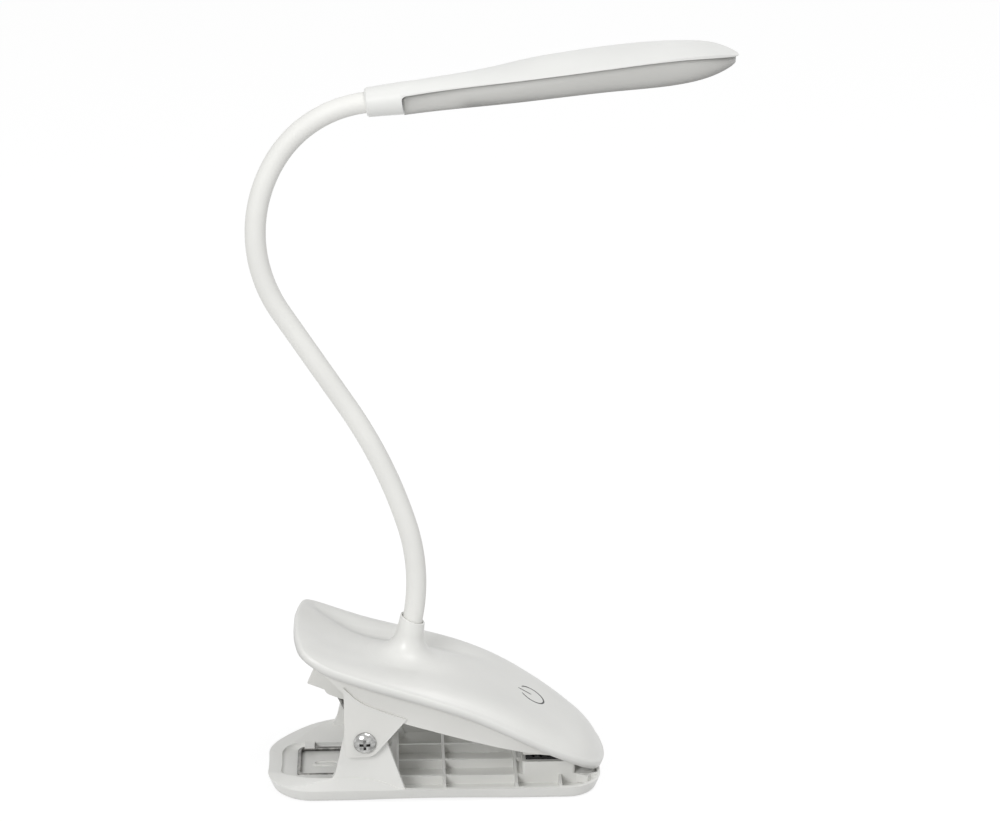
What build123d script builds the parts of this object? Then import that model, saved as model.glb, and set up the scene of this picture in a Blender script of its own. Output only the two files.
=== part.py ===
from build123d import *
import os
from math import asin, atan2, cos, degrees, exp, pi, radians, sin, sqrt

# Rechargeable clamp lamp: a spring clamp with a touch switch on its upper jaw,
# a flexible neck that stands in a collar, and a slim light head.
# X runs from the squeeze handle to the jaw tips, Y across, Z up.
# While it is drawn, the clamp's pivot axis is at X = 0 and the feet stand on Z = 0.

# Clamp pivot
pivot_height = 28.2
shaft_radius = 3.0
shaft_clearance = 0.08
screw_head_radius = 4.3
screw_head_height = 2.4
screw_recess_width = 1.1
screw_recess_reach = 2.1
screw_recess_depth = 1.3

# Lower jaw: a shallow ribbed tray with a handle at its rear
jaw_rear = -38.2
jaw_front = 91.5
jaw_half_width = 26.0
jaw_rim_height = 6.2
jaw_corner_front = 13.0
jaw_corner_rear = 18.0
jaw_side_inset = 3.2
jaw_end_share = 0.6
jaw_foot_radius = 2.0
tray_wall = 1.8
tray_floor = 1.6
tray_rear = 13.0
foot_thickness = 0.8
foot_sink = 0.5
foot_radius = 4.0
arch_rise = 1.1
rib_thickness = 1.2
rib_pitch = 13.6
cross_rib_first = 30.5
cross_rib_second = 58.5
cross_rib_third = 75.5

# Squeeze handle of the lower jaw
handle_rear_height = 6.4
handle_middle = -24.0
handle_middle_height = 8.9
handle_rise_end = 12.0
handle_valley = 5.6
dish_half_width = 14.0
dish_rear = -33.2
dish_floor = 5.0
dish_corner = 7.0
dish_edge_round = 1.6
bump_length = 10.5
bump_width = 4.0
bump_height = 0.7
bump_centre = -15.5
spring_clip_length = 4.0
spring_clip_width = 4.6
spring_clip_height = 2.6

# Ears that carry the pivot
lower_ear_outer = 25.6
lower_ear_thickness = 2.6
lower_ear_top_radius = 8.2
lower_ear_foot_rear = -13.0
lower_ear_foot_front = 15.2
ear_clearance = 0.4
upper_ear_thickness = 2.6
upper_ear_rear = -7.8
upper_ear_round = 6.3
upper_ear_front = 15.8

# Grip pads near the jaw tips
pad_box_rear = 61.0
pad_box_front = 81.6
pad_box_half_width = 13.6
pad_box_top = 11.6
pad_inset = 1.4
pad_thickness = 2.0
pad_sink = 0.6
pad_gap = 0.3

# Upper shell, drawn in its own frame: u along the slope, v across, h out of the deck
deck_slope = 22.8
deck_height_at_pivot = 52.6
shell_rear = -29.6
shell_front = 101.5
shell_half_width = 31.0
shell_wall = 2.0
edge_round = 3.0
deck_base = 2.6
hump_height = 5.6
hump_centre = 43.0
hump_reach = 38.0
crown_height = 1.5
dish_depth = 3.6
dish_centre = -6.0
dish_reach = 18.0
dish_spread = 16.0
nose_start = 86.0
nose_drop = 0.016

# Rim of the upper shell: the height of its lower edge at the rear, waist, middle and nose
rim_rear = 0.8
rim_waist = -1.5
rim_middle = 2.1
rim_front = -2.1
rim_nose = -4.0

# Collar on the shell, round the foot of the neck
collar_radius = 5.0
collar_draft = 0.5
collar_lean = 9.0
collar_flare = 6.5
collar_top = 18.7
collar_bore_gap = 0.35

# Cover below the upper shell
cover_inset = 2.8
cover_wall = 1.8
cover_gap = 0.3
cover_lip = 2.5
cover_floor_front = -2.5
cover_floor_middle = -9.8
cover_floor_pivot = -10.2
cover_floor_rear = -1.9
port_box_rear = -17.4
port_cheek = 3.0
port_cheek_thickness = 1.6
port_box_front = -2.0
port_box_half_width = 11.0
port_box_floor = -15.3
port_box_step = 1.3
port_width = 9.0
port_height = 3.2
port_length = 7.4
port_corner = 1.5
port_wall = 0.35
board_thickness = 1.6
board_height = -6.4
board_length = 26.0
board_width = 18.0
cell_length = 42.0
cell_width = 30.0
cell_thickness = 5.5
cell_start = 27.0
touch_centre = 67.6
touch_ring_radius = 5.3
touch_groove = 0.45
touch_groove_depth = 0.25
touch_ring_opening = 70.0
touch_plate_thickness = 0.4
screw_post_radius = 2.6
screw_shank_radius = 1.15
screw_shank_length = 5.6

# Neck: its foot, first heading from upright, and its bends as radius and turn
neck_diameter = 7.8
neck_core_diameter = 5.0
neck_core_bore = 3.0
neck_sleeve_bore = 5.4
neck_foot_x = 18.6
neck_foot_z = 65.4
neck_lean = 12.3
neck_bend_1 = (83.0, 28.7)
neck_bend_2 = (192.0, 16.2)
neck_straight = 43.8
neck_bend_3 = (-55.7, -66.2)
neck_bend_4 = (-44.7, -49.9)
neck_joints = 10
neck_first_joint = 10.0
neck_last_joint_gap = 8.0
neck_cup_gap = 0.15
neck_sleeve_root = 12.0
neck_core_root = 22.0
neck_socket_depth = 11.0
wire_radius = 0.6
wire_spread = 0.75
nut_radius = 6.5
nut_length = 5.0
nut_gap = 1.8

# Light head, drawn in its own frame: x along the head, z out of its top
head_length = 137.0
head_half_width = 14.6
socket_radius = 5.4
socket_root_radius = 6.0
socket_length = 13.3
socket_bore_gap = 0.12
head_peak = 95.0
head_seam_height = 5.2
seam_root_height = 2.0
seam_lip = 0.4
crest_rise_waist = 3.1
crest_rise_full = 4.4
head_bottom = -3.6
head_bottom_root = -5.4
head_side_inset = 2.2
head_wall = 1.6
seam_gap = 0.25
diffuser_thickness = 1.8
diffuser_margin = 2.4
led_board_thickness = 1.2
led_count = 14
led_size = 2.8
led_height = 0.8
head_screw_radius = 1.8

# Torsion spring
spring_wire = 1.7
spring_coil_radius = 5.6
spring_coil_gap = 0.15
spring_coil_outer = 10.2
spring_foot_x = 9.5
spring_leave_angle = 25.0
spring_rest_gap = 0.1
spring_loop_half_width = 11.4
spring_reach = 26.0
spring_bend_radius = 2.2

deck_cos = cos(radians(deck_slope))
deck_sin = sin(radians(deck_slope))
deck = Plane(
    origin=(0, 0, deck_height_at_pivot),
    x_dir=(deck_cos, 0, -deck_sin),
    z_dir=(deck_sin, 0, deck_cos),
)
big = 400.0


def block(x0, x1, y0, y1, z0, z1):
    """A box between two corners."""
    size = (x1 - x0, y1 - y0, z1 - z0)
    middle = ((x0 + x1) / 2, (y0 + y1) / 2, (z0 + z1) / 2)
    return Pos(*middle) * Box(*size)


def rod(radius, y0, y1, x=0.0, z=pivot_height):
    """A round bar along Y."""
    return Pos(x, (y0 + y1) / 2, z) * Rot(90, 0, 0) * Cylinder(radius, y1 - y0)


def side_profile(line, y0, y1):
    """A closed XZ outline carried across from y0 to y1."""
    face = make_face(line)
    return Pos(0, y0, 0) * extrude(face, y1 - y0, dir=(0, 1, 0))


def xz(points):
    """Points of the XZ plane."""
    return [(x, 0, z) for x, z in points]


def mirrored(solid):
    """The same solid on the other side of the middle plane."""
    return mirror(solid, about=Plane.XZ)


# Lower jaw


def jaw_outline(inset, height):
    """Plan of the lower jaw, drawn in by an inset, less at its ends than at its sides."""
    x0 = jaw_rear + inset * jaw_end_share
    x1 = jaw_front - inset * jaw_end_share
    width = 2 * (jaw_half_width - inset)
    plan = Pos((x0 + x1) / 2, 0, height) * Rectangle(x1 - x0, width)
    rear = plan.vertices().filter_by_position(Axis.X, x0 - 1, x0 + 1)
    plan = fillet(rear, jaw_corner_rear - inset / 2)
    front = plan.vertices().filter_by_position(Axis.X, x1 - 1, x1 + 1)
    return fillet(front, jaw_corner_front - inset / 2)


def jaw_hull():
    """The outside of the tray and handle, narrower at the bottom than at the rim."""
    rim = jaw_outline(0, jaw_rim_height)
    bottom = jaw_outline(jaw_side_inset, foot_thickness - foot_sink)
    hull = loft([bottom, rim])
    low_edges = hull.edges().group_by(Axis.Z)[0]
    return fillet(low_edges, jaw_foot_radius) + extrude(rim, handle_rise_end - jaw_rim_height + 1)


def jaw_side_line():
    """Top line of the lower jaw seen from the side, closed far above it."""
    rise = Spline(
        *xz(
            [
                (jaw_rear - 1, handle_rear_height),
                (handle_middle, handle_middle_height),
                (lower_ear_foot_rear - 2, handle_rise_end - 0.6),
                (-lower_ear_top_radius, handle_rise_end),
            ]
        )
    )
    drop = Spline(
        *xz(
            [
                (-lower_ear_top_radius, handle_rise_end),
                (lower_ear_foot_front - 8, handle_rise_end - 2.4),
                (lower_ear_foot_front + 3, jaw_rim_height),
            ]
        ),
        tangents=[(1, 0, 0), (1, 0, 0)],
    )
    rim = Polyline(
        *xz(
            [
                (lower_ear_foot_front + 3, jaw_rim_height),
                (jaw_front + 5, jaw_rim_height),
                (jaw_front + 5, pivot_height),
                (jaw_rear - 1, pivot_height),
                (jaw_rear - 1, handle_rear_height),
            ]
        )
    )
    return rise + drop + rim


def tray_hollow():
    """The open inside of the tray in front of the handle."""
    floor = jaw_outline(jaw_side_inset + tray_wall - 1, foot_thickness + tray_floor)
    mouth = jaw_outline(tray_wall, jaw_rim_height)
    hollow = loft([floor, mouth]) + extrude(mouth, pivot_height)
    return hollow & block(tray_rear, jaw_front, -40, 40, 0, big)


def handle_valley_cut():
    """The hollow across the handle's top, deepest along the middle."""
    w = jaw_half_width
    arc = ThreePointArc((-w, handle_rise_end), (0, handle_valley), (w, handle_rise_end))
    lid = Polyline((w, handle_rise_end), (w + 9, 60), (-w - 9, 60), (-w, handle_rise_end))
    section = Plane(origin=(jaw_rear - 1, 0, 0), x_dir=(0, 1, 0), z_dir=(1, 0, 0)) * make_face(arc + lid)
    return extrude(section, tray_rear - jaw_rear, dir=(1, 0, 0))


def jaw_ribs():
    """Long ribs and cross ribs that stiffen the tray, as high as its rim."""
    low = foot_thickness + tray_floor / 2
    half = rib_thickness / 2
    ribs = []
    for row in (-1, 0, 1):
        y = row * rib_pitch
        ribs.append(block(tray_rear - 1, jaw_front - 1, y - half, y + half, low, jaw_rim_height))
    for x in (cross_rib_first, cross_rib_second, cross_rib_third):
        y = jaw_half_width - half
        ribs.append(block(x - half, x + half, -y, y, low, jaw_rim_height))
    solid = Part() + ribs
    return solid & jaw_hull()


def lower_ear():
    """One ear of the lower jaw, its foot spread along the rim."""
    low = foot_thickness + tray_floor / 2
    top = lower_ear_top_radius
    rear_tangent = (-top, pivot_height)
    outline = Polyline(
        *xz(
            [
                rear_tangent,
                (lower_ear_foot_rear + 1.5, handle_rise_end + 2),
                (lower_ear_foot_rear - 2.5, jaw_rim_height),
                (lower_ear_foot_rear - 2.5, low),
                (lower_ear_foot_front + 1, low),
                (lower_ear_foot_front, jaw_rim_height),
                (top + 0.4, pivot_height - 2),
                (top, pivot_height),
            ]
        )
    )
    crown = ThreePointArc(*xz([(top, pivot_height), (0, pivot_height + top), rear_tangent]))
    inner = lower_ear_outer - lower_ear_thickness
    ear = side_profile(outline + crown, -lower_ear_outer, -inner)
    inside = jaw_hull() + block(jaw_rear, jaw_front, -40, 40, jaw_rim_height, pivot_height + top)
    return ear & inside


def handle_dish():
    """The dished recess on top of the handle, with a step all round."""
    length = tray_rear - 3 - dish_rear
    plan = Pos(dish_rear + length / 2, 0, dish_floor) * Rectangle(length, 2 * dish_half_width)
    corners = plan.vertices().filter_by_position(Axis.X, dish_rear - 1, dish_rear + 1)
    plan = fillet(corners, dish_corner)
    well = extrude(plan, big / 4)
    return fillet(well.edges().group_by(Axis.Z)[0], dish_edge_round)


def handle_bump():
    """The oblong raised mark on the floor of the dish."""
    plan = Pos(bump_centre, 0, dish_floor - 0.5) * SlotOverall(bump_length, bump_width)
    inner = Pos(bump_centre, 0, dish_floor - 0.5) * SlotOverall(bump_length - 1.6, bump_width - 1.6)
    return extrude(plan - inner, 0.5 + bump_height)


def spring_clip():
    """The hook that holds one corner of the spring's loop down."""
    x = -spring_reach + spring_wire
    y = spring_loop_half_width
    low = dish_floor - 0.5
    wire = spring_wire + 0.3
    hook = block(
        x,
        x + spring_clip_length,
        y - wire / 2 - 0.9,
        y + wire / 2 + 1.6,
        low,
        dish_floor + wire + 0.9,
    )
    slot = block(
        x - 1,
        x + spring_clip_length + 1,
        y - wire / 2 - 2,
        y + wire / 2,
        dish_floor,
        dish_floor + wire,
    )
    return hook - slot


def foot_places():
    """Centres of the four rubber feet."""
    rear = jaw_rear + jaw_corner_rear - 3
    front = jaw_front - jaw_corner_front - 1
    side = jaw_half_width - jaw_side_inset - jaw_foot_radius - foot_radius - 0.5
    return [(x, y) for x in (rear, front) for y in (-side, side)]


def make_lower_jaw():
    body = jaw_hull() - side_profile(jaw_side_line(), -40, 40)
    body -= tray_hollow()
    body -= handle_valley_cut()
    body += jaw_ribs()
    body -= handle_dish()
    body += handle_bump()
    body += spring_clip()
    ear = lower_ear()
    body += ear + mirrored(ear)
    box_base = block(
        pad_box_rear,
        pad_box_front,
        -pad_box_half_width - rib_thickness / 2,
        pad_box_half_width + rib_thickness / 2,
        foot_thickness + tray_floor / 2,
        pad_box_top,
    )
    body += fillet(box_base.edges().filter_by(Axis.Z), 1.2)
    pad_seat = pad_block(pad_box_top - pad_sink, pad_box_top + 1)
    body -= pad_seat
    body -= rod(shaft_radius + shaft_clearance, -40, 40)
    arch = ThreePointArc(
        *xz([(jaw_rear + 22, 0), (jaw_rear + 60, arch_rise + 0.3), (jaw_front - 24, 0)])
    )
    floor_line = Polyline(*xz([(jaw_front - 24, 0), (jaw_front - 24, -9), (jaw_rear + 22, -9), (jaw_rear + 22, 0)]))
    body -= side_profile(arch + floor_line, -40, 40)
    for x, y in foot_places():
        body -= Pos(x, y, foot_thickness / 2) * Cylinder(foot_radius + 0.05, foot_thickness)
    return body


def make_feet():
    """Four rubber feet let into the underside."""
    feet = []
    for x, y in foot_places():
        foot = Pos(x, y, foot_thickness / 2) * Cylinder(foot_radius, foot_thickness)
        feet.append(foot)
    return feet


def pad_block(z0, z1):
    """The block that a grip pad fills between two heights."""
    x0 = pad_box_rear + pad_inset
    x1 = pad_box_front - pad_inset
    y = pad_box_half_width - pad_inset
    return block(x0, x1, -y, y, z0, z1)


def make_lower_pad():
    pad = pad_block(pad_box_top - pad_sink, pad_box_top - pad_sink + pad_thickness)
    return pad - pad_grooves(pad_box_top - pad_sink + pad_thickness)


def pad_grooves(z):
    """Cross grooves that help a pad to grip, cut at height z."""
    grooves = Part()
    for place in range(5):
        x = pad_box_rear + pad_inset + 3 + place * 3
        grooves += block(x - 0.5, x + 0.5, -20, 20, z - 0.5, z + 0.5)
    return grooves


# Upper shell


def deck_height(u, v):
    """Height of the outer skin above the deck plane."""
    hump = hump_height * exp(-(((u - hump_centre) / hump_reach) ** 2))
    crown = crown_height * (1 - min(1.5, (v / shell_half_width) ** 2))
    well = exp(-(((u - dish_centre) / dish_reach) ** 2) - (v / dish_spread) ** 2)
    nose = nose_drop * max(0.0, u - nose_start) ** 2
    return deck_base + hump + crown - dish_depth * well - nose


def deck_skin(drop):
    """The outer skin as one smooth face, lowered by a drop."""
    stations = 19
    rows = []
    for i in range(stations):
        u = shell_rear - 6 + (shell_front - shell_rear + 12) * i / (stations - 1)
        row = []
        for j in range(13):
            v = (shell_half_width + 6) * (j / 6 - 1)
            row.append(Vector(u, v, deck_height(u, v) - drop))
        rows.append(row)
    return Face.make_surface_from_array_of_points(rows, tol=0.05, min_deg=3, max_deg=5)


def above_deck(drop):
    """Everything above the lowered skin."""
    return extrude(deck_skin(drop), 60, dir=(0, 0, 1))


def leaf(inset, height):
    """Plan of the upper shell: blunt at the rear, widest in the middle, round at the nose."""
    u0 = shell_rear + inset
    u1 = shell_front - inset
    w = shell_half_width - inset
    length = u1 - u0
    side = [
        (u0 + 0.008 * length, 0.50 * w),
        (u0 + 0.032 * length, 0.79 * w),
        (u0 + 0.09 * length, 0.92 * w),
        (u0 + 0.24 * length, 0.975 * w),
        (u0 + 0.50 * length, w),
        (u0 + 0.76 * length, 0.93 * w),
        (u0 + 0.92 * length, 0.62 * w),
    ]
    other_side = [(u, -v) for u, v in reversed(side)]
    outline = Spline((u0, 0), *side, (u1, 0), *other_side, periodic=True)
    return Pos(0, 0, height) * make_face(outline)


def below_rim(lift):
    """Everything below the lower edge of the shell, raised by a lift."""
    edge = Spline(
        *xz(
            [
                (shell_rear - 2, rim_rear + lift),
                (-12, rim_waist + lift),
                (hump_centre, rim_middle + lift),
                (84, rim_front + lift),
                (shell_front + 2, rim_nose + lift),
            ]
        )
    )
    rest = Polyline(
        *xz(
            [
                (shell_front + 2, rim_nose + lift),
                (shell_front + 2, -60),
                (shell_rear - 2, -60),
                (shell_rear - 2, rim_rear + lift),
            ]
        )
    )
    return side_profile(edge + rest, -40, 40)


def neck_axis_point(s):
    """A point on the neck's straight root, s along it from the collar's mouth."""
    lean = radians(neck_lean)
    return (neck_foot_x + s * sin(lean), 0, neck_foot_z + s * cos(lean))


def collar_blank():
    """The collar without its bore, standing through the deck."""
    height = 30.0
    lean = radians(collar_lean)
    foot = Plane(
        origin=(neck_foot_x - height * sin(lean), 0, neck_foot_z - height * cos(lean)),
        x_dir=(cos(lean), 0, -sin(lean)),
        z_dir=(sin(lean), 0, cos(lean)),
    )
    cone = Cone(collar_radius + collar_draft * height / 13, collar_radius, height + 6)
    return foot * Pos(0, 0, height / 2 + 3) * cone


def make_upper_shell():
    prism = Pos(0, 0, -30) * extrude(leaf(0, 0), 60)
    outer = prism - above_deck(0)
    outer -= below_rim(0)
    top_edge = outer.edges().filter_by(lambda e: e.length > 60).sort_by(Axis.Z)[-1]
    outer = fillet(top_edge, edge_round)
    inner = Pos(0, 0, -30) * extrude(leaf(shell_wall, 0), 60)
    inner -= above_deck(shell_wall)
    collar = deck.location.inverse() * collar_blank()
    collar -= below_rim(0)
    outer += collar & block(-big, big, -big, big, -60, collar_top)
    blend = [e for e in outer.edges() if near_collar(e)]
    outer = fillet(blend, collar_flare)
    shell = outer - inner
    for u, v in screw_places():
        foot = floor_at(u) + cover_wall + cover_gap
        post = Pos(u, v, foot + 10) * Cylinder(screw_post_radius, 20)
        shell += post & extrude(deck_skin(shell_wall / 2), 60, dir=(0, 0, -1))
        shell -= Pos(u, v, foot + screw_shank_length / 2) * Cylinder(screw_shank_radius + 0.03, screw_shank_length)
    shell -= touch_sign()
    shell = deck.location * shell
    root = Line(neck_axis_point(-40), neck_axis_point(20))
    bore = sweep(Plane(root @ 0, z_dir=root % 0) * Circle(neck_diameter / 2 + collar_bore_gap), root)
    return shell - bore


def near_collar(edge):
    """True for the ring where the collar meets the deck."""
    centre = edge.center(CenterOf.BOUNDING_BOX)
    box = edge.bounding_box()
    small = max(box.size.X, box.size.Y) < 16 and box.size.Y > 6
    return small and 5 < centre.X < 30 and 3 < centre.Z < 10 and edge.length > 8


def touch_sign():
    """The groove round the touch key: an open ring and a short bar."""
    half = radians(touch_ring_opening / 2)
    r = touch_ring_radius
    start = (touch_centre - r * cos(half), r * sin(half))
    end = (touch_centre - r * cos(half), -r * sin(half))
    ring = ThreePointArc(start, (touch_centre + r, 0), end)
    bar = Line((touch_centre - r - 0.8, 0), (touch_centre - 0.2, 0))
    sign = trace(ring, touch_groove) + trace(bar, touch_groove)
    column = extrude(sign, 30)
    return column - (Pos(0, 0, -touch_groove_depth) * below_deck())


def below_deck():
    """Everything below the outer skin."""
    return extrude(deck_skin(0), 60, dir=(0, 0, -1))


# Cover below the upper shell, in the deck's frame


def floor_line():
    """Underside of the cover seen from the side."""
    rear = Spline(
        *xz(
            [
                (shell_rear - 4, cover_floor_rear + 0.8),
                (-17, cover_floor_rear - 0.6),
                (-3.4, -8.0),
                (8, cover_floor_pivot),
            ]
        ),
        tangents=[(1, 0, 0), (1, 0, 0)],
    )
    front = Polyline(
        *xz(
            [
                (8, cover_floor_pivot),
                (21.4, cover_floor_middle),
                (88.2, cover_floor_front),
                (shell_front + 3, cover_floor_front - 1.7),
            ]
        )
    )
    return rear, front


def below_floor(lift):
    """Everything below the cover's underside, raised by a lift."""
    rear, front = floor_line()
    rest = Polyline(front @ 1, (shell_front + 3, 0, -60), (shell_rear - 4, 0, -60), rear @ 0)
    return Pos(0, 0, lift) * side_profile(rear + front + rest, -40, 40)


def floor_top(u):
    """Height of the cover's inner floor on its long slope."""
    return cover_floor_middle + cover_wall + (u - 21.4) * floor_rise()


def floor_rise():
    """Slope of the cover's floor in front of the pivot."""
    return (cover_floor_front - cover_floor_middle) / (88.2 - 21.4)


def leaf_prism(inset):
    """The shell's plan drawn in by an inset, as a tall column."""
    return Pos(0, 0, -30) * extrude(leaf(inset, 0), 60)


def screw_places():
    """Where the cover's screws stand, as u and v."""
    return [(u, v) for u in (4.0, 76.0) for v in (-cover_screw_reach(u), cover_screw_reach(u))]


def cover_screw_reach(u):
    """How far from the middle the cover's screws stand."""
    return 21.0 if u < 50 else 17.0


def port_box_blank(inset):
    """The rear box that holds the charging port, drawn in by an inset."""
    box = block(
        port_box_rear + inset,
        port_box_front - inset,
        inset - port_box_half_width,
        port_box_half_width - inset,
        port_box_floor + inset,
        cover_floor_rear + inset,
    )
    step = block(
        port_box_front - 9 + inset,
        port_box_front + 2 - inset,
        inset - port_box_half_width,
        port_box_half_width - inset,
        port_box_floor - port_box_step + inset,
        cover_floor_rear + inset,
    )
    low = step.edges().filter_by(Axis.Y).group_by(Axis.Z)[0]
    return box + fillet(low, 3.4 - inset)


def upper_ear():
    """One ear of the upper jaw: square behind the pivot, round below it, slanted in front."""
    r = upper_ear_round
    up = radians(50)
    low = pivot_height - r
    touch = (r * sin(up), pivot_height - r * cos(up))
    front_top = (touch[0] + 20 * cos(up), touch[1] + 20 * sin(up))
    arc_middle = (r * sin(up / 2), pivot_height - r * cos(up / 2))
    arc = ThreePointArc(*xz([(0, low), arc_middle, touch]))
    rest = Polyline(
        *xz([touch, front_top, (upper_ear_rear, 52), (upper_ear_rear, low + 0.8), (upper_ear_rear + 0.8, low), (0, low)])
    )
    inner = lower_ear_outer + ear_clearance
    ear = side_profile(arc + rest, -inner - upper_ear_thickness, -inner)
    return ear & (deck.location * below_floor(cover_wall + 0.4))


def upper_pad_boss():
    """The wedge below the cover that carries the upper grip pad."""
    low = upper_pad_bottom() + pad_thickness - pad_sink
    y = pad_box_half_width + rib_thickness / 2
    boss = block(pad_box_rear, pad_box_front, -y, y, low, low + 30)
    boss = fillet(boss.edges().filter_by(Axis.Z), 1.2)
    return boss & (deck.location * below_floor(cover_wall / 2))


def upper_pad_bottom():
    """Grip face of the upper pad with the clamp closed."""
    return pad_box_top - pad_sink + pad_thickness + pad_gap


def make_under_cover():
    cover = leaf_prism(cover_inset) & below_rim(cover_lip)
    cover = cover & extrude(deck_skin(shell_wall + cover_gap), 60, dir=(0, 0, -1))
    cover -= below_floor(0)
    cover += port_box_blank(0)
    hollow = leaf_prism(cover_inset + cover_wall) - below_floor(cover_wall)
    cover -= hollow
    cheek = port_box_half_width - port_cheek_thickness
    cover -= block(port_box_rear - 1, port_box_rear + port_cheek, -cheek, cheek, port_box_floor - 1, cover_floor_rear - 1)
    room = port_box_blank(cover_wall - 0.2)
    cover -= room & block(port_box_rear + port_cheek + cover_wall - 0.2, big, -40, 40, -40, 40)
    for u in (port_box_rear + port_cheek + 3.2, port_box_front - 3):
        for v in (-7, 7):
            stand = Pos(u, v, board_low() - 10) * Cylinder(1.4, 20)
            cover += stand & port_box_blank(cover_wall / 2)
    port = port_outline(port_wall + 0.25)
    cover -= Pos(port_box_rear, 0, board_low() + board_thickness + port_height / 2) * extrude(port, 3 + port_cheek)
    for u, v in screw_places():
        cover -= Pos(u, v, 0) * Cylinder(screw_shank_radius + 0.25, 60)
        cover -= Pos(u, v, floor_at(u) - 10 + 0.9) * Cylinder(3.0, 20)
        cover -= Pos(u, v, floor_at(u) + cover_wall + cover_gap / 2 + 10) * Cylinder(screw_post_radius + 0.3, 20)
    cover = deck.location * cover
    ear = upper_ear()
    cover += ear + mirrored(ear)
    cover += upper_pad_boss()
    low = upper_pad_bottom() + pad_thickness - pad_sink
    cover -= pad_block(low - 1, low + pad_sink)
    return cover - rod(shaft_radius + 0.05, -40, 40)


def floor_at(u):
    """Height of the cover's outer floor at a screw."""
    if u > 21.4:
        return cover_floor_middle + (u - 21.4) * floor_rise()
    return cover_floor_pivot


def make_upper_pad():
    bottom = upper_pad_bottom()
    return pad_block(bottom, bottom + pad_thickness) - pad_grooves(bottom)


def make_cover_screws():
    """Self-tapping screws that hold the cover to the shell."""
    screws = []
    for u, v in screw_places():
        foot = floor_at(u) + 0.85
        head = Pos(u, v, foot - 0.6) * Cylinder(2.6, 1.2)
        slot = Pos(u, v, foot - 1.2) * (Box(3, 0.7, 0.9) + Box(0.7, 3, 0.9))
        shank = Pos(u, v, foot + screw_shank_length / 2) * Cylinder(screw_shank_radius, screw_shank_length)
        screws.append(deck.location * (head - slot + shank))
    return screws


def board_low():
    """Underside of the control board."""
    return port_box_floor + 4.9


def make_control_board():
    """Charging and dimming board with its small parts."""
    u0 = port_box_rear + port_cheek + cover_wall + 0.1
    u1 = port_box_front - 0.4
    half = port_box_half_width - cover_wall - 0.4
    low = board_low()
    board = block(u0, u1, -half, half, low, low + board_thickness)
    top = low + board_thickness
    board += block(u1 - 3.2, u1 - 0.4, -2.5, 2.5, top - 0.1, top + 1.4)
    board += block(u1 - 3.4, u1 - 0.8, 4.5, 7.5, top - 0.1, top + 2.0)
    board += block(u1 - 5.4, u1 - 2.4, -7.5, -5.7, top - 0.1, top + 1.0)
    return deck.location * board


def port_outline(grow):
    """Rounded mouth of the charging port, facing the rear."""
    plane = Plane(origin=(0, 0, 0), x_dir=(0, 1, 0), z_dir=(1, 0, 0))
    return plane * RectangleRounded(
        port_width + 2 * grow - 2 * port_wall,
        port_height + 2 * grow - 2 * port_wall,
        port_corner + grow - port_wall,
    )


def make_charging_port():
    """The metal shell of the charging port with its tongue."""
    rear = port_box_rear + port_cheek + 0.3
    height = board_low() + board_thickness + port_height / 2
    can = extrude(port_outline(port_wall), port_length)
    can -= Pos(-0.1, 0, 0) * extrude(port_outline(0), port_length - 0.8)
    can += Pos(port_length / 2 + 0.4, 0, 0) * Box(port_length - 1.2, port_width - 2.6, 0.7)
    return deck.location * Pos(rear, 0, height) * can


def make_battery():
    """The flat cell that lies on the cover's floor."""
    tilt = -degrees(atan2(floor_rise(), 1))
    cell = Box(cell_length, cell_width, cell_thickness)
    cell = fillet(cell.edges().filter_by(Axis.X), 2.2)
    middle = cell_start + cell_length / 2
    lift = floor_top(middle) + cell_thickness / 2 + 0.15
    return deck.location * Pos(middle, 0, lift) * Rot(0, tilt, 0) * cell


def make_touch_plate():
    """The metal disc behind the touch key, lying against the shell."""
    column = Pos(touch_centre, 0, 0) * Cylinder(touch_ring_radius + 1.2, 60)
    layer = below_deck() - Pos(0, 0, -touch_plate_thickness) * below_deck()
    return deck.location * (column & (Pos(0, 0, -shell_wall - 0.05) * layer))


# Neck


def neck_stretches():
    """The neck's bends and straight as length and turn per length, from the collar up."""
    out = []
    for radius, turn in (neck_bend_1, neck_bend_2, (0, 0), neck_bend_3, neck_bend_4):
        if radius:
            out.append((abs(radius * radians(turn)), 1 / radius))
        else:
            out.append((neck_straight, 0.0))
    return out


def neck_length():
    return sum(length for length, bend in neck_stretches())


def neck_at(s):
    """Place and heading of the neck's centre line at a length from the collar's mouth."""
    x, z, heading = neck_foot_x, neck_foot_z, radians(-neck_lean)
    stretches = [(-min(s, 0.0), 0.0)] if s < 0 else neck_stretches() + [(big, 0.0)]
    if s < 0:
        return x + s * -sin(heading), z + s * cos(heading), heading
    for length, bend in stretches:
        run = min(length, s)
        end = heading + bend * run
        if bend:
            x += (cos(end) - cos(heading)) / bend
            z += (sin(end) - sin(heading)) / bend
        else:
            x -= run * sin(heading)
            z += run * cos(heading)
        heading = end
        s -= run
        if s <= 0:
            break
    return x, z, heading


def neck_point(s, y=0.0):
    x, z, heading = neck_at(s)
    return (x, y, z)


def neck_cuts(s0, s1):
    """Lengths at which the neck's line changes bend between two places."""
    cuts = [s0, 0.0]
    total = 0.0
    for length, bend in neck_stretches():
        total += length
        cuts.append(total)
    cuts.append(s1)
    inside = sorted(c for c in cuts if s0 <= c <= s1)
    kept = [s0]
    for c in inside:
        if c - kept[-1] > 0.3:
            kept.append(c)
    kept[-1] = s1
    return kept


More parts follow.
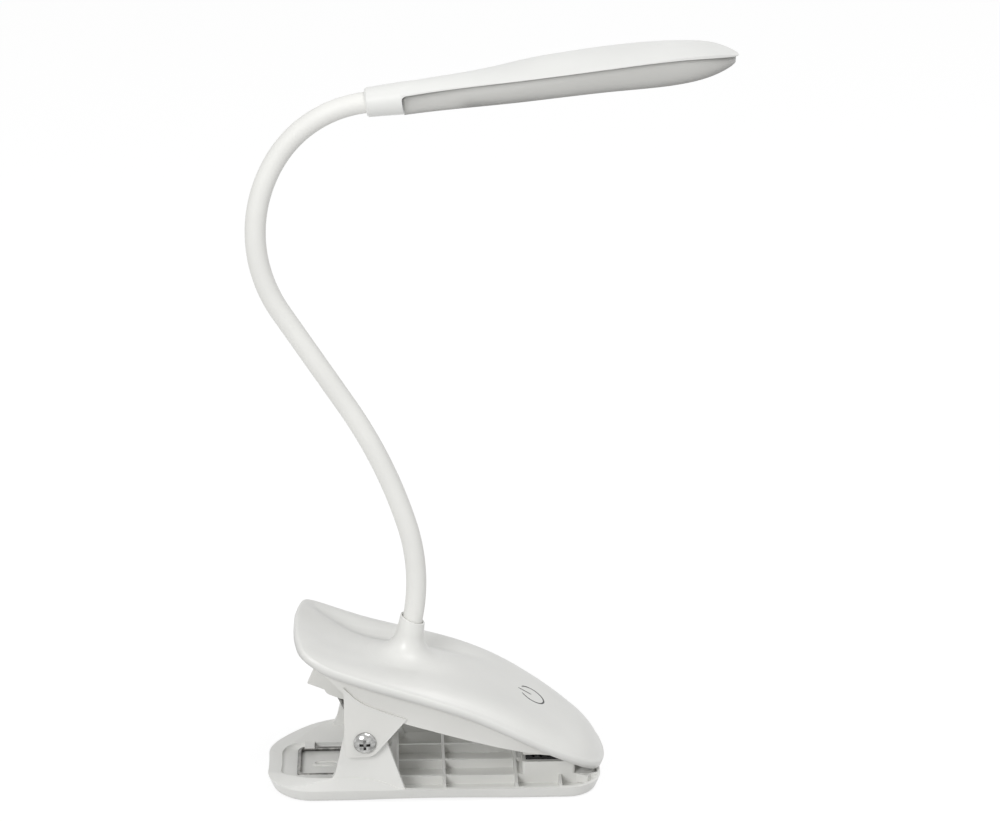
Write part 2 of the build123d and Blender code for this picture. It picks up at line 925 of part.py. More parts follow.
def neck_path(s0, s1, y=0.0):
    """The neck's centre line between two lengths."""
    cuts = neck_cuts(s0, s1)
    edges = []
    for a, b in zip(cuts, cuts[1:]):
        middle = (a + b) / 2
        turn = abs(neck_at(a)[2] - neck_at(b)[2])
        if turn < 1e-4:
            edges.append(Line(neck_point(a, y), neck_point(b, y)))
        else:
            edges.append(ThreePointArc(neck_point(a, y), neck_point(middle, y), neck_point(b, y)))
    return edges


def neck_tube(radius, s0, s1, y=0.0):
    """A round bar along the neck."""
    path = Wire(neck_path(s0, s1, y))
    x, z, heading = neck_at(s0)
    start = Plane(origin=(x, y, z), z_dir=(-sin(heading), 0, cos(heading)))
    return sweep(start * Circle(radius), path)


def joint_places():
    """Lengths of the neck's bending places."""
    last = neck_length() - neck_last_joint_gap
    step = (last - neck_first_joint) / (neck_joints - 1)
    return [neck_first_joint + i * step for i in range(neck_joints)]


def neck_ball(s, radius):
    return Pos(*neck_point(s)) * Sphere(radius)


def neck_span(s0, s1, cup, ball):
    """One span of the sleeve, with a cup at its lower end and a ball at its upper end."""
    radius = neck_diameter / 2
    span = neck_tube(radius, s0, s1)
    if ball:
        span += neck_ball(s1, radius)
    if cup:
        span -= neck_ball(s0, radius + neck_cup_gap)
    return span - neck_tube(neck_sleeve_bore / 2, s0 - 3, s1 + 5)


def neck_core(s0, s1):
    """One span of the metal conduit inside the sleeve."""
    bore = neck_tube(neck_core_bore / 2, s0 - 1, s1 + 1)
    return neck_tube(neck_core_diameter / 2, s0, s1) - bore


def make_neck():
    """All spans of sleeve and conduit, numbered from the collar up."""
    places = joint_places()
    total = neck_length()
    lows = [-neck_sleeve_root] + places
    highs = places + [total + neck_socket_depth]
    spans = {}
    for i, (low, high) in enumerate(zip(lows, highs)):
        first = i == 0
        last = i == len(places)
        spans[f"neck_sleeve_{i + 1:02d}"] = neck_span(low, high, not first, not last)
        core_low = -neck_core_root if first else low + 3.4
        core_high = high - 1.0 if last else high + 1.8
        spans[f"neck_conduit_{i + 1:02d}"] = neck_core(core_low, core_high)
    return spans


def make_feed_wires():
    """The two wires that run up the neck to the head."""
    low = -neck_core_root - 1.5
    high = neck_length() + neck_socket_depth + 3
    return [neck_tube(wire_radius, low, high, y) for y in (-wire_spread, wire_spread)]


def make_neck_nut():
    """The nut below the collar that clamps the neck's foot."""
    x, z, heading = neck_at(-neck_core_root + 0.6)
    seat = Plane(origin=(x, 0, z), x_dir=(0, 1, 0), z_dir=(-sin(heading), 0, cos(heading)))
    nut = extrude(RegularPolygon(nut_radius, 6), nut_length)
    return seat * (nut - Pos(0, 0, nut_length / 2) * Cylinder(neck_core_diameter / 2 + 0.05, 2 * nut_length))


# Light head, in the head's frame


def head_plane():
    x, z, heading = neck_at(neck_length())
    along = (-sin(heading), 0, cos(heading))
    return Plane(origin=(x, 0, z), x_dir=along, z_dir=(-cos(heading), 0, -sin(heading)))


def head_plan(inset, height):
    """Plan of the head: narrow at the socket, widest past the middle, round at the tip."""
    length = head_length - inset
    w = head_half_width - inset
    root = socket_root_radius - min(inset, 2.5)
    side = [
        (socket_length, root),
        (0.26 * head_length, root + 0.30 * (w - root)),
        (0.41 * head_length, root + 0.72 * (w - root)),
        (0.56 * head_length, root + 0.96 * (w - root)),
        (0.71 * head_length, w),
        (0.85 * head_length, 0.91 * w),
        (0.95 * length, 0.62 * w),
    ]
    other = [(x, -y) for x, y in reversed(side)]
    edge = Spline(*side, (length, 0), *other)
    return Pos(0, 0, height) * make_face(edge + Line(other[-1], side[0]))


def seam_height(x):
    """Height of the head's parting line."""
    if x < head_peak:
        t = max(0.0, (x - socket_length) / (head_peak - socket_length))
        return seam_root_height + (head_seam_height - seam_root_height) * (1 - (1 - t) ** 1.5)
    t = (x - head_peak) / (head_length - head_peak)
    return head_seam_height - (head_seam_height - 1.2) * t**3.5


def crest_rise(x):
    """How far the head's crest stands above the parting line."""
    lift = crest_rise_waist + 0.7 * max(0.0, 1 - (x - socket_length) / 28)
    t = min(1.0, max(0.0, (x - 40) / 26))
    lift += (crest_rise_full - crest_rise_waist) * t * t * (3 - 2 * t)
    return lift * (1 - max(0.0, (x - head_peak + 15) / (head_length - head_peak + 15.5)) ** 2.5)


def head_seam():
    """The parting line of the head seen from the side, with a rounded step at the socket."""
    x = socket_length
    step = ThreePointArc(*xz([(x, seam_root_height - 1.6), (x + 0.5, seam_root_height - 0.5), (x + 1.6, seam_root_height)]))
    places = [x + 1.6, 0.22 * head_length, 0.34 * head_length, 0.5 * head_length, head_peak]
    places += [0.86 * head_length, 0.95 * head_length, head_length + 1]
    points = [(place, seam_height(place - 1.6 if place < 20 else place)) for place in places]
    return step + Spline(*xz(points))


def below_seam(gap):
    """The part of the head's frame below the parting line, drawn back by a gap."""
    seam = head_seam()
    x = socket_length
    end = head_length + 1
    rest = Polyline(*xz([(end, seam_height(end)), (end, -30), (x, -30), (x, seam_root_height - 1.6)]))
    region = side_profile(seam + rest, -40, 40)
    if gap:
        region = region & (Pos(gap, 0, -gap) * region)
    return region


def head_bottom_line(lift):
    """Everything below the head's underside, raised by a lift."""
    line = Spline(
        *xz(
            [
                (socket_length - 2, head_bottom_root + lift),
                (0.37 * head_length, head_bottom - 0.7 + lift),
                (0.66 * head_length, head_bottom + lift),
                (0.90 * head_length, head_bottom + lift + 0.1),
                (head_length + 1, -0.4 + lift),
            ]
        )
    )
    rest = Polyline(*xz([(head_length + 1, -0.4 + lift), (head_length + 1, -40), (socket_length - 2, -40), (socket_length - 2, head_bottom_root + lift)]))
    return side_profile(line + rest, -40, 40)


def dome_height(x, y):
    """Height of the head's domed top."""
    t = min(1.0, max(0.0, (x - socket_length) / (head_peak - socket_length)))
    width = socket_root_radius + (head_half_width - socket_root_radius) * sin(pi / 2 * t**0.75) ** 2
    rise = crest_rise(min(x, head_length - 0.5))
    return seam_height(x) + rise - max(0.2, rise - seam_lip) * (y / width) ** 2


def above_dome(drop):
    rows = []
    for i in range(23):
        x = 6 + (head_length - 2) * i / 22
        row = []
        for j in range(13):
            y = (head_half_width + 3) * (j / 6 - 1)
            row.append(Vector(x, y, dome_height(x, y) - drop))
        rows.append(row)
    skin = Face.make_surface_from_array_of_points(rows, tol=0.05, min_deg=3, max_deg=5)
    return extrude(skin, 60, dir=(0, 0, 1))


def socket_blank():
    """The round socket and the spine that runs from it into the head."""
    outline = Polyline(
        (0, 0),
        (0, socket_radius - 0.6),
        (0.6, socket_radius),
        (socket_length, socket_root_radius),
        (socket_length + 6, socket_root_radius),
        (socket_length + 22, socket_root_radius - 2.5),
        (socket_length + 22, 0),
        (0, 0),
    )
    return revolve(make_face(outline), Axis.X)


def make_head_top_cover():
    slab = extrude(head_plan(0, -12), 40) - above_dome(0)
    hollow = extrude(head_plan(head_wall, -12), 40) - above_dome(head_wall)
    hollow -= Pos(0, 0, -2) * block(0, socket_length + 2, -20, 20, -30, 40)
    cover = slab - hollow
    spine = socket_blank()
    cover += spine
    cover -= below_seam(0)
    cover -= Pos(socket_length + 12, 0, 0) * Rot(0, 90, 0) * Cylinder(2.6, 32)
    mouth = Cylinder(neck_diameter / 2 + socket_bore_gap, 2 * neck_socket_depth + 0.2)
    cover -= Rot(0, 90, 0) * mouth
    return head_plane().location * cover


def make_head_frame():
    wide = head_plan(seam_gap * 0.2, 8)
    narrow = head_plan(head_side_inset, -7)
    body = loft([narrow, wide])
    body = body & below_seam(seam_gap)
    body -= head_bottom_line(0)
    hollow = extrude(head_plan(head_side_inset + head_wall, -12), 40)
    hollow -= head_bottom_line(diffuser_thickness + 1.4)
    hollow = hollow & block(socket_length + 2, big, -40, 40, -40, 40)
    body -= hollow
    body -= block(socket_length - 1, socket_length + 4, -3, 3, -2.6, 40)
    pocket = diffuser_blank(0.12, -1, diffuser_thickness + 0.2)
    window = diffuser_blank(-1.2, -1, 12)
    body -= pocket
    body -= window
    return head_plane().location * body


def diffuser_blank(grow, low, high):
    """The diffuser's outline between two heights above the head's underside."""
    inset = head_side_inset + diffuser_margin - grow
    plan = extrude(head_plan(inset, -12), 40)
    plan = plan & block(0.26 * head_length - grow, big, -40, 40, -40, 40)
    return (plan - head_bottom_line(low)) & head_bottom_line(high)


def make_diffuser():
    return head_plane().location * diffuser_blank(0, 0.2, diffuser_thickness)


def led_board_low():
    return head_bottom + diffuser_thickness + 1.4 + 0.15


def make_led_board():
    inset = head_side_inset + head_wall + 0.6
    low = led_board_low()
    plan = extrude(head_plan(inset, low), led_board_thickness)
    plan = plan & block(0.36 * head_length, 0.89 * head_length, -40, 40, -40, 40)
    return head_plane().location * plan


def make_leds():
    """White light emitters in two rows below the board."""
    leds = []
    columns = led_count // 2
    x0 = 0.44 * head_length
    pitch = (0.86 * head_length - x0) / (columns - 1)
    z = led_board_low() - led_height / 2
    for column in range(columns):
        for side in (-1, 1):
            chip = Pos(x0 + column * pitch, side * 3.6, z) * Box(led_size, led_size, led_height)
            leds.append(head_plane().location * chip)
    return leds


# Pivot shaft, screws and spring


def make_pivot_shaft():
    """The round barrel through all four ears, with a threaded hole in each end."""
    end = lower_ear_outer + ear_clearance + upper_ear_thickness - 0.1
    shaft = rod(shaft_radius, -end, end)
    return shaft - rod(1.6, end - 11, end + 1) - rod(1.6, -end - 1, -end + 11)


def pivot_screw():
    """One pan-head screw with a cross recess, on the near side."""
    face = lower_ear_outer + ear_clearance + upper_ear_thickness
    r = screw_head_radius
    h = screw_head_height
    outline = Polyline((0, 0), (0, r), (0.7, r))
    outline += ThreePointArc((0.7, r), (0.7 + (h - 0.7) * 0.72, r * 0.66), (h, r * 0.18))
    outline += Polyline((h, r * 0.18), (h, 0), (0, 0))
    head = revolve(make_face(outline), Axis.X)
    recess = Box(2 * screw_recess_depth, 2 * screw_recess_reach, screw_recess_width)
    recess += Box(2 * screw_recess_depth, screw_recess_width, 2 * screw_recess_reach)
    head -= Pos(h, 0, 0) * recess
    head += Pos(-4.7, 0, 0) * Rot(0, 90, 0) * Cylinder(1.55, 9.6)
    return Pos(0, -face, pivot_height) * Rot(0, 0, -90) * head


def make_pivot_screws():
    screw = pivot_screw()
    return [screw, mirrored(screw)]


def coil_line():
    """Centre line of the near coil, from the loop's leg to the upper leg."""
    across = spring_foot_x, pivot_height - spring_foot_height()
    reach = sqrt(across[0] ** 2 + across[1] ** 2)
    lean = atan2(across[1], -across[0]) + asin(spring_coil_radius / reach)
    start = lean + pi / 2
    turns = 2 + (start + pi - radians(spring_leave_angle)) / (2 * pi)
    seat = Plane(
        origin=(0, -spring_coil_outer, pivot_height),
        x_dir=(cos(start), 0, sin(start)),
        z_dir=(0, 1, 0),
    )
    pitch = spring_wire + spring_coil_gap
    return seat.location * Helix(pitch, turns * pitch, spring_coil_radius)


def spring_foot_height():
    """Height of the wire's centre in the handle's dish."""
    return dish_floor + spring_wire / 2 + spring_rest_gap


def leg_foot(coil):
    """Where the near leg meets the dish."""
    start = coil @ 0
    way = coil % 0
    return start - way * ((start.Z - spring_foot_height()) / way.Z)


def spring_half():
    """The near half of the spring, from the middle of the loop to the upper leg's end."""
    r = spring_wire / 2
    coil = coil_line()
    foot = leg_foot(coil)
    corner = Vector(-spring_reach, foot.Y, foot.Z)
    middle = Vector(-spring_reach, 0, foot.Z)
    loop = FilletPolyline(middle, corner, foot, coil @ 0, radius=spring_bend_radius)
    body = sweep(Plane(origin=middle, z_dir=(0, -1, 0)) * Circle(r), loop)
    body += sweep(Plane(origin=coil @ 0, z_dir=coil % 0) * Circle(r), coil, is_frenet=True)
    end = coil @ 1
    way = coil % 1
    room = port_box_floor - port_box_step - spring_rest_gap - r - (end.X * deck_sin + (end.Z - deck_height_at_pivot) * deck_cos)
    length = room / (way.X * deck_sin + way.Z * deck_cos)
    leg = Line(end, end + way * length)
    return body + sweep(Plane(origin=end, z_dir=way) * Circle(r), leg)


def make_clamp_spring():
    """Two coils joined by a loop in the handle, each with a leg to the upper cover."""
    half = spring_half()
    return half + mirrored(half)


def all_parts():
    """Every piece of the lamp by name."""
    parts = {
        "lower_jaw": make_lower_jaw(),
        "rubber_feet": make_feet(),
        "lower_grip_pad": make_lower_pad(),
        "upper_grip_pad": make_upper_pad(),
        "upper_shell": make_upper_shell(),
        "under_cover": make_under_cover(),
        "cover_screws": make_cover_screws(),
        "control_board": make_control_board(),
        "charging_port": make_charging_port(),
        "battery_cell": make_battery(),
        "touch_plate": make_touch_plate(),
        "neck_nut": make_neck_nut(),
        "feed_wires": make_feed_wires(),
        "head_top_cover": make_head_top_cover(),
        "head_frame": make_head_frame(),
        "diffuser": make_diffuser(),
        "led_board": make_led_board(),
        "leds": make_leds(),
        "pivot_shaft": make_pivot_shaft(),
        "pivot_screws": make_pivot_screws(),
        "clamp_spring": make_clamp_spring(),
    }
    parts.update(make_neck())
    return parts


def middle_shift(parts):
    """The move that puts the lamp's middle on the origin."""
    box = Compound(children=[solid for solids in parts.values() for solid in solids]).bounding_box()
    return -(box.min.X + box.max.X) / 2


def main():
    os.makedirs("parts", exist_ok=True)
    parts = {}
    for name, shape in all_parts().items():
        parts[name] = list(shape) if isinstance(shape, list) else list(shape.solids())
    move = Pos(middle_shift(parts), 0, 0)
    for name, solids in parts.items():
        export_step(Compound(children=[move * solid for solid in solids]), f"parts/{name}.step")


main()
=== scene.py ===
import bpy
import bmesh
from math import cos, exp, pi, radians, sin
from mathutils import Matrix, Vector


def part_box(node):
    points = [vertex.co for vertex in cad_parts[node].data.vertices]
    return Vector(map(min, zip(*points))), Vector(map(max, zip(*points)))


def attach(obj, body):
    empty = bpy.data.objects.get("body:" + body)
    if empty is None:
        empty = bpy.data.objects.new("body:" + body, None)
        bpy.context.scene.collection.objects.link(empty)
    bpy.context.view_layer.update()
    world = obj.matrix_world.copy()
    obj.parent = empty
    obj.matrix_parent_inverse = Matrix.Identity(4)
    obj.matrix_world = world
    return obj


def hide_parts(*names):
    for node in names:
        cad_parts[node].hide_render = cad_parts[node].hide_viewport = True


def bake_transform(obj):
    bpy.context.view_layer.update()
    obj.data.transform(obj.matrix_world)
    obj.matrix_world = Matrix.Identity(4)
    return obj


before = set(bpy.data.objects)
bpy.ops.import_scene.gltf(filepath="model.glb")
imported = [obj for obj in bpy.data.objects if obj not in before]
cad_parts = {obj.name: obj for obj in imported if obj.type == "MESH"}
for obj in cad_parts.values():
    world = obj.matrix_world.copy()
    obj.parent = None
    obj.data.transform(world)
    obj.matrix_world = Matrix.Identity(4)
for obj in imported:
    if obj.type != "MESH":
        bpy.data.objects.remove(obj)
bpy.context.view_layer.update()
scene = bpy.context.scene
scene.view_settings.view_transform = "Standard"
MM = 0.001

# Where the clamp's pivot axis stands in the shared frame
PIVOT_X = sum(corner[0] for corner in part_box("pivot_shaft")) / 2


# Camera at the photograph's viewing angle, in metres and degrees

CAMERA_PLACE = (PIVOT_X + 11.3 * MM, -1131.8 * MM, 578.1 * MM)
CAMERA_DOWN = 20.6
CAMERA_AZIMUTH = -2.1
CAMERA_SENSOR = 36.0
CAMERA_LENS = 115.2
CAMERA_NEAR = 0.05
CAMERA_FAR = 20.0


def make_camera():
    """The camera, its lens set for the width of the picture."""
    data = bpy.data.cameras.new("camera")
    data.sensor_width = CAMERA_SENSOR
    data.sensor_fit = "HORIZONTAL"
    data.lens = CAMERA_LENS
    data.clip_start = CAMERA_NEAR
    data.clip_end = CAMERA_FAR
    camera = bpy.data.objects.new("camera", data)
    scene.collection.objects.link(camera)
    camera.location = CAMERA_PLACE
    camera.rotation_euler = (radians(90 - CAMERA_DOWN), 0, radians(CAMERA_AZIMUTH))
    scene.camera = camera


make_camera()


# Node trees

# Sockets of the colour mix, which share their names with sockets of other kinds
MIX_FACTOR = 0
MIX_FIRST = 6
MIX_SECOND = 7
MIX_RESULT = 2

# Spans of a noise over which tone and gloss change, and of openness over which the painted shade in
# creases darkens
TONE_SPAN = (0.35, 0.65)
ROUGH_SPAN = (0.3, 0.7)
PAINTED_SHADE_SPAN = (0.15, 0.75)


class Nodes:
    """A short way to write a node tree."""

    def __init__(self, name):
        self.material = bpy.data.materials.new(name)
        self.material.use_nodes = True
        self.tree = self.material.node_tree
        self.tree.nodes.clear()
        self.out = self.add("ShaderNodeOutputMaterial")
        self.shader = self.add("ShaderNodeBsdfPrincipled")
        self.link(self.shader, "BSDF", self.out, "Surface")
        self.place = self.add("ShaderNodeTexCoord")

    def add(self, kind, **values):
        """A node with its settings and socket values, underscores standing for spaces."""
        node = self.tree.nodes.new(kind)
        for key, value in values.items():
            if hasattr(node, key):
                setattr(node, key, value)
            else:
                node.inputs[key.replace("_", " ")].default_value = value
        return node

    def link(self, source, out, target, into):
        """Joins two nodes, each socket given by its name or number."""
        self.tree.links.new(source.outputs[out], target.inputs[into])

    def set(self, **values):
        """Values of the surface shader that are the same all over."""
        for key, value in values.items():
            self.shader.inputs[key.replace("_", " ")].default_value = value

    def noise(self, scale, detail=3.0, rough=0.5, stretch=None):
        """Noise that stays with the object, stretched along its axes if asked."""
        node = self.add("ShaderNodeTexNoise", Scale=scale, Detail=detail, Roughness=rough)
        if stretch:
            mapping = self.add("ShaderNodeMapping", Scale=stretch)
            self.link(self.place, "Object", mapping, "Vector")
            self.link(mapping, "Vector", node, "Vector")
        else:
            self.link(self.place, "Object", node, "Vector")
        return node

    def tones(self, source, dark, pale):
        """Base colour that drifts between two tones."""
        ramp = self.add("ShaderNodeValToRGB")
        for element, position, tone in zip(ramp.color_ramp.elements, TONE_SPAN, (dark, pale)):
            element.position = position
            element.color = (*tone, 1)
        self.link(source, "Fac", ramp, "Fac")
        self.link(ramp, "Color", self.shader, "Base Color")
        return ramp

    def paint_crease_shade(self, ramp, reach, floor):
        """Paints shade into the base colour in creases and recesses, down to a share of itself."""
        painted_crease_shade = self.add("ShaderNodeAmbientOcclusion", samples=6, Distance=reach)
        start, end = PAINTED_SHADE_SPAN
        span = self.add("ShaderNodeMapRange", From_Min=start, From_Max=end, To_Min=floor)
        mix = self.add("ShaderNodeMix", data_type="RGBA", blend_type="MULTIPLY")
        mix.inputs[MIX_FACTOR].default_value = 1.0
        self.link(painted_crease_shade, "AO", span, "Value")
        self.link(ramp, "Color", mix, MIX_FIRST)
        self.link(span, "Result", mix, MIX_SECOND)
        self.link(mix, MIX_RESULT, self.shader, "Base Color")

    def rough(self, source, low, high):
        """Roughness that drifts between two values."""
        start, end = ROUGH_SPAN
        span = self.add("ShaderNodeMapRange", From_Min=start, From_Max=end, To_Min=low, To_Max=high)
        self.link(source, "Fac", span, "Value")
        self.link(span, "Result", self.shader, "Roughness")

    def bump(self, source, distance, strength):
        """Fine relief, its height in metres."""
        node = self.add("ShaderNodeBump", Distance=distance, Strength=strength)
        self.link(source, "Fac", node, "Height")
        self.link(node, "Normal", self.shader, "Normal")
        return node


# Kinds of material

# Red and blue of a neutral plastic beside its green, and how far blue falls as red rises
NEUTRAL_RED = 0.992
NEUTRAL_BLUE = 0.982
BLUE_FALL = 1.6


def shade(level, warm):
    """A near-neutral linear colour, warmed by a share."""
    return (level * (NEUTRAL_RED + warm), level, level * (NEUTRAL_BLUE - BLUE_FALL * warm))


def moulded(name, level, warm, rough, soft=0.0):
    """Moulded plastic: a slow drift in tone, fine grain, uneven gloss and, if asked, soft edges."""
    m = Nodes(name)
    drift = m.noise(scale=28.0, detail=4.0)
    m.tones(drift, shade(level * 0.965, warm), shade(level * 1.02, warm))
    m.rough(m.noise(scale=90.0), *rough)
    relief = m.bump(m.noise(scale=1500.0, detail=2.0), distance=0.00001, strength=0.15)
    if soft:
        edge = m.add("ShaderNodeBevel", samples=8, Radius=soft)
        m.link(edge, "Normal", relief, "Normal")
    m.set(Specular_IOR_Level=0.45)
    return m.material


def metal(name, dark, pale, rough, scale=900.0, stretch=None, depth=0.00001, painted_crease_shade=0.0):
    """Bare metal with a fine grain, with painted shade in its creases if asked."""
    m = Nodes(name)
    grain = m.noise(scale, rough=0.55, stretch=stretch)
    ramp = m.tones(grain, dark, pale)
    if painted_crease_shade:
        m.paint_crease_shade(ramp, reach=painted_crease_shade, floor=0.12)
    m.rough(m.noise(scale / 6), *rough)
    m.bump(grain, distance=depth, strength=0.3)
    m.set(Metallic=1.0)
    return m.material


def rubber(name, dark, pale):
    """Dull rubber with a coarse grain."""
    m = Nodes(name)
    m.tones(m.noise(scale=420.0, detail=4.0), dark, pale)
    m.rough(m.noise(scale=260.0), 0.62, 0.85)
    m.bump(m.noise(scale=1800.0), distance=0.00004, strength=0.5)
    return m.material


def solder_mask(name, ground, track):
    """Board lacquer with tracks just below it."""
    m = Nodes(name)
    lacquer = (*ground, 1)
    tracks = m.add("ShaderNodeTexBrick", Scale=110.0, Mortar_Size=0.012,
                   Color1=lacquer, Color2=lacquer, Mortar=(*track, 1))
    m.link(m.place, "Object", tracks, "Vector")
    m.link(tracks, "Color", m.shader, "Base Color")
    m.rough(m.noise(scale=200.0), 0.3, 0.45)
    m.bump(m.noise(scale=900.0), distance=0.00002, strength=0.3)
    return m.material


def milky(name, dark, pale):
    """Translucent diffuser plastic with a fine frosted grain."""
    m = Nodes(name)
    m.tones(m.noise(scale=60.0), dark, pale)
    m.rough(m.noise(scale=300.0), 0.45, 0.6)
    m.bump(m.noise(scale=3000.0), distance=0.00003, strength=0.5)
    m.set(Transmission_Weight=0.35, IOR=1.46)
    return m.material


def phosphor(name, dark, pale):
    """The coated face of an emitter."""
    m = Nodes(name)
    m.tones(m.noise(scale=1500.0), dark, pale)
    m.rough(m.noise(scale=800.0), 0.3, 0.5)
    m.bump(m.noise(scale=2500.0), distance=0.00002, strength=0.4)
    return m.material


# Materials of the lamp

shell_white = moulded("shell white", level=0.760, warm=0.008, rough=(0.29, 0.37))
clamp_white = moulded("clamp white", level=0.800, warm=0.008, rough=(0.30, 0.42))
cover_white = moulded("cover white", level=0.740, warm=0.012, rough=(0.30, 0.42))
head_white = moulded("head white", level=0.780, warm=0.004, rough=(0.29, 0.36))
# A darker copy of the head's white plastic: the frame's grey is painted shade
head_white_in_painted_shade = moulded("head white in painted shade", level=0.550, warm=0.012, rough=(0.30, 0.40), soft=6.5 * MM)
sleeve_white = moulded("sleeve white", level=0.820, warm=0.010, rough=(0.50, 0.66))

# Base colour darker than bright chrome: partly the screw's tone, partly a painted dark reflection; painted
# shade in its recess
chrome = metal("screw chrome", (0.24, 0.24, 0.235), (0.56, 0.56, 0.55), rough=(0.10, 0.20),
               scale=420.0, depth=0.00003, painted_crease_shade=2.2 * MM)
# Painted shade darkens the spring's creases
spring_steel = metal("spring steel", (0.15, 0.15, 0.145), (0.34, 0.335, 0.32), rough=(0.28, 0.38),
                     scale=500.0, painted_crease_shade=2.0 * MM)
shaft_steel = metal("shaft steel", (0.48, 0.48, 0.48), (0.62, 0.62, 0.61), rough=(0.25, 0.40),
                    scale=2200.0, stretch=(1, 0.05, 1))
conduit_steel = metal("conduit steel", (0.38, 0.38, 0.38), (0.52, 0.52, 0.51), rough=(0.30, 0.45))
port_steel = metal("port steel", (0.60, 0.60, 0.59), (0.72, 0.71, 0.70), rough=(0.18, 0.30))
nut_brass = metal("nut brass", (0.62, 0.48, 0.22), (0.74, 0.58, 0.30), rough=(0.22, 0.36))
touch_copper = metal("touch copper", (0.66, 0.36, 0.22), (0.78, 0.46, 0.30), rough=(0.25, 0.40))
cell_foil = metal("cell foil", (0.58, 0.58, 0.58), (0.70, 0.70, 0.69), rough=(0.35, 0.55), scale=260.0)

# Near-black for the grip pads, which fill the dark gap at the jaws' tips
pad_black = rubber("pad black", (0.010, 0.010, 0.011), (0.022, 0.022, 0.023))
foot_grey = rubber("foot grey", (0.42, 0.42, 0.41), (0.52, 0.52, 0.50))
wire_red = rubber("wire red", (0.42, 0.03, 0.02), (0.52, 0.05, 0.03))
ink_grey = rubber("ink grey", (0.07, 0.07, 0.07), (0.11, 0.11, 0.11))

board_green = solder_mask("board green", (0.010, 0.095, 0.035), (0.030, 0.190, 0.070))
board_white = solder_mask("board white", (0.72, 0.72, 0.70), (0.56, 0.56, 0.53))
diffuser_milk = milky("diffuser milk", (0.80, 0.80, 0.78), (0.86, 0.86, 0.84))
emitter_yellow = phosphor("emitter yellow", (0.80, 0.55, 0.10), (0.88, 0.66, 0.16))

NODE_MATERIALS = {
    "upper_shell": shell_white,
    "lower_jaw": clamp_white,
    "under_cover": cover_white,
    "head_top_cover": head_white,
    "head_frame": head_white_in_painted_shade,
    "rubber_feet": foot_grey,
    "lower_grip_pad": pad_black,
    "upper_grip_pad": pad_black,
    "pivot_screws": chrome,
    "pivot_shaft": shaft_steel,
    "cover_screws": shaft_steel,
    "clamp_spring": spring_steel,
    "control_board": board_green,
    "led_board": board_white,
    "leds": emitter_yellow,
    "diffuser": diffuser_milk,
    "battery_cell": cell_foil,
    "charging_port": port_steel,
    "touch_plate": touch_copper,
    "neck_nut": nut_brass,
    "feed_wires": wire_red,
}


def node_material(node):
    """The material of a CAD node; the neck's spans share two."""
    if node.startswith("neck_sleeve"):
        return sleeve_white
    if node.startswith("neck_conduit"):
        return conduit_steel
    return NODE_MATERIALS[node]


def dress(node):
    """Gives a CAD node its material."""
    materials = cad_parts[node].data.materials
    if len(materials) == 0:
        materials.append(node_material(node))
    for index in range(len(materials)):
        materials[index] = node_material(node)


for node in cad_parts:
    dress(node)


# Meshes

SHARP = 30.0
SHELL_SHARP = 50.0


def join_rings(bm, rings):
    """Faces between closed rings of as many points each."""
    for low, high in zip(rings, rings[1:]):
        count = len(low)
        for k in range(count):
            n = (k + 1) % count
            bm.faces.new((low[k], low[n], high[n], high[k]))


def add_mesh(name, bm, material, sharp=SHARP):
    """A smooth piece of one material, its edges sharp past an angle in degrees."""
    mesh = bpy.data.meshes.new(name)
    bmesh.ops.recalc_face_normals(bm, faces=bm.faces)
    bm.to_mesh(mesh)
    bm.free()
    mesh.materials.append(material)
    for face in mesh.polygons:
        face.use_smooth = True
    mesh.set_sharp_from_angle(angle=radians(sharp))
    piece = bpy.data.objects.new(name, mesh)
    scene.collection.objects.link(piece)
    return piece


def add_solid(name, rings, material):
    """A closed piece from rings of places, with a flat face at each end."""
    bm = bmesh.new()
    rings = [[bm.verts.new(place) for place in ring] for ring in rings]
    join_rings(bm, rings)
    bm.faces.new(rings[0])
    bm.faces.new(rings[-1])
    return add_mesh(name, bm, material)


# Neck: a sleeve and the wires in it, cut between the bending places, in millimetres and degrees

NECK_FOOT = (18.6, 65.4)
NECK_LEAN = 12.3
# Each bend's radius and turn, or 0 and the length of a straight run
NECK_BENDS = ((83.0, 28.7), (192.0, 16.2), (0.0, 43.8), (-55.7, -66.2), (-44.7, -49.9))
# The straight run past the last bend, longer than anything made on it
NECK_BEYOND = 400.0
NECK_RADIUS = 3.9
NECK_INNER = 2.75
NECK_ROOT = -12.0
NECK_SOCKET = 11.0
SLEEVE_SIDES = 40
RING_GAP = 1.6
FEWEST_GAPS = 4

NECK_JOINTS = 10
FIRST_JOINT = 10.0
LAST_JOINT_GAP = 8.0
BEND_REACH = 7.5
# Bending places picked out to blend from their far side, as from the near side one pose throws the piece
# off; bend_at_joint bakes them like the rest
FROM_FAR_SIDE = (5, 7)

WIRE_RADIUS = 0.6
WIRE_SPREAD = 0.75
WIRE_SIDES = 10
WIRE_ROOT = -23.5
WIRE_TIP = 3.0


def stretches():
    """The neck's runs as length and turn per length."""
    runs = []
    for radius, turn in NECK_BENDS:
        if radius:
            runs.append((abs(radius * radians(turn)), 1 / radius))
        else:
            runs.append((turn, 0.0))
    return runs


def neck_at(s):
    """Centre line at a length from the collar's mouth: x, z and heading."""
    x, z = NECK_FOOT
    heading = radians(-NECK_LEAN)
    if s < 0:
        return x - s * sin(heading), z + s * cos(heading), heading
    for length, bend in stretches() + [(NECK_BEYOND, 0.0)]:
        run = min(length, s)
        end = heading + bend * run
        if bend:
            x += (cos(end) - cos(heading)) / bend
            z += (sin(end) - sin(heading)) / bend
        else:
            x -= run * sin(heading)
            z += run * cos(heading)
        heading = end
        s -= run
        if s <= 0:
            break
    return x, z, heading


